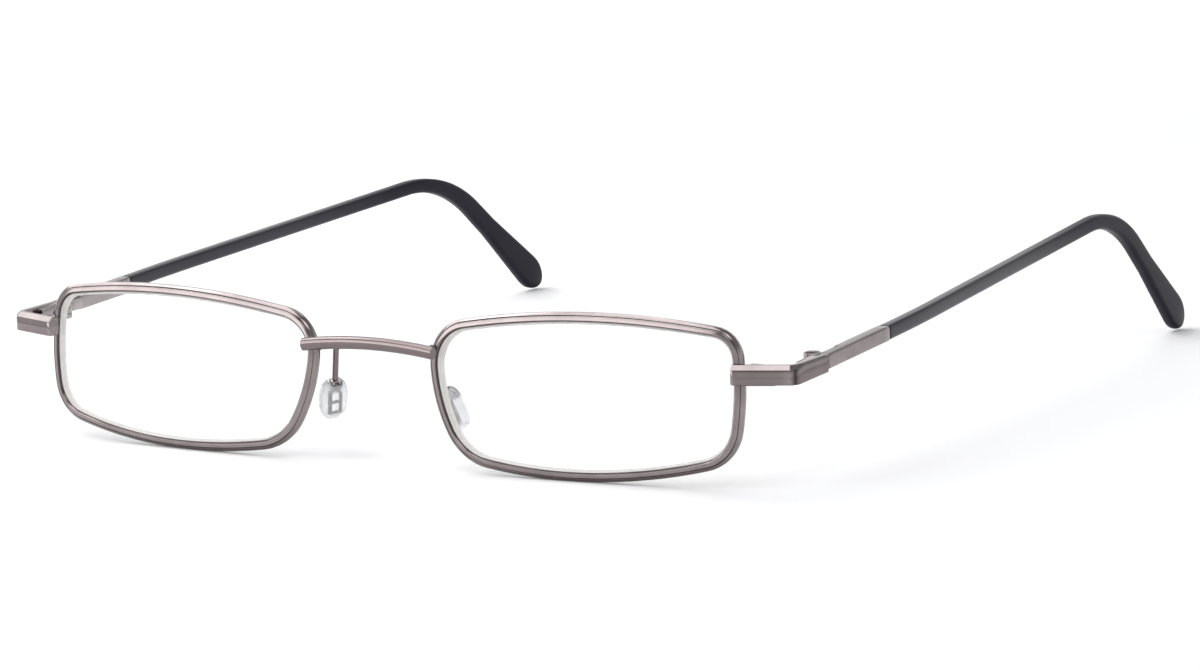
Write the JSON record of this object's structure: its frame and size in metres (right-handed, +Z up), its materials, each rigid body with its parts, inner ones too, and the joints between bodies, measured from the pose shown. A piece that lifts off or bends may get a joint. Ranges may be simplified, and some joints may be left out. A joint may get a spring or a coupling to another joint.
{
  "type": "reading glasses",
  "caption": "Narrow metal-framed reading glasses with curved rims, adjustable nose pads, folding temples and dark moulded ear sleeves.",
  "frame": {"origin": "on the surface that the open glasses stand on, midway between their sides and between the bridge's front and the temple tips", "axes": "+X to the wearer's left, +Y from the front towards the ears, +Z up"},
  "size_m": [0.137, 0.1452, 0.0245],
  "materials": {
    "frame_metal": "satin dark nickel plating",
    "fittings": "polished",
    "lens": "clear, polished",
    "sleeve": "fine matte moulding",
    "pad": "clear soft silicone"
  },
  "bodies": {
    "front": {"left_eyewire": "frame_metal", "right_eyewire": "frame_metal", "left_lens": "lens", "right_lens": "lens", "bridge": "frame_metal", "left_endpiece": "frame_metal", "right_endpiece": "frame_metal", "left_closing_block_upper": "frame_metal", "right_closing_block_upper": "frame_metal", "left_closing_block_lower": "frame_metal", "right_closing_block_lower": "frame_metal", "left_closing_screw": "fittings", "right_closing_screw": "fittings", "left_front_hinge": "frame_metal", "right_front_hinge": "frame_metal", "left_hinge_screw": "fittings", "right_hinge_screw": "fittings", "left_pad_arm": "fittings", "right_pad_arm": "fittings", "left_pad_box": "fittings", "right_pad_box": "fittings", "left_pad_screw": "fittings", "right_pad_screw": "fittings"},
    "left_temple": {"left_temple_hinge": "frame_metal", "left_temple_bar": "frame_metal", "left_temple_sleeve": "sleeve"},
    "right_temple": {"right_temple_hinge": "frame_metal", "right_temple_bar": "frame_metal", "right_temple_sleeve": "sleeve"},
    "left_pad": {"left_pad_insert": "fittings", "left_nose_pad": "pad"},
    "right_pad": {"right_pad_insert": "fittings", "right_nose_pad": "pad"}
  },
  "joints": [
    {"name": "left_temple_fold", "type": "hinge", "parent": "front", "child": "left_temple", "pos_m": [0.06575, -0.05682, 0.0171], "axis": [0, -0.0593, 0.9982], "range_deg": [0, 89]},
    {"name": "right_temple_fold", "type": "hinge", "parent": "front", "child": "right_temple", "pos_m": [-0.06575, -0.05682, 0.0171], "axis": [0, 0.0593, -0.9982], "range_deg": [0, 85]},
    {"name": "left_pad_rock", "type": "hinge", "parent": "front", "child": "left_pad", "pos_m": [0.01001, -0.06591, 0.01048], "axis": [-0.4985, 0.8613, 0.0982], "range_deg": [-8, 8]},
    {"name": "right_pad_rock", "type": "hinge", "parent": "front", "child": "right_pad", "pos_m": [-0.01001, -0.06591, 0.01048], "axis": [-0.4985, -0.8613, -0.0982], "range_deg": [-8, 8]}
  ]
}
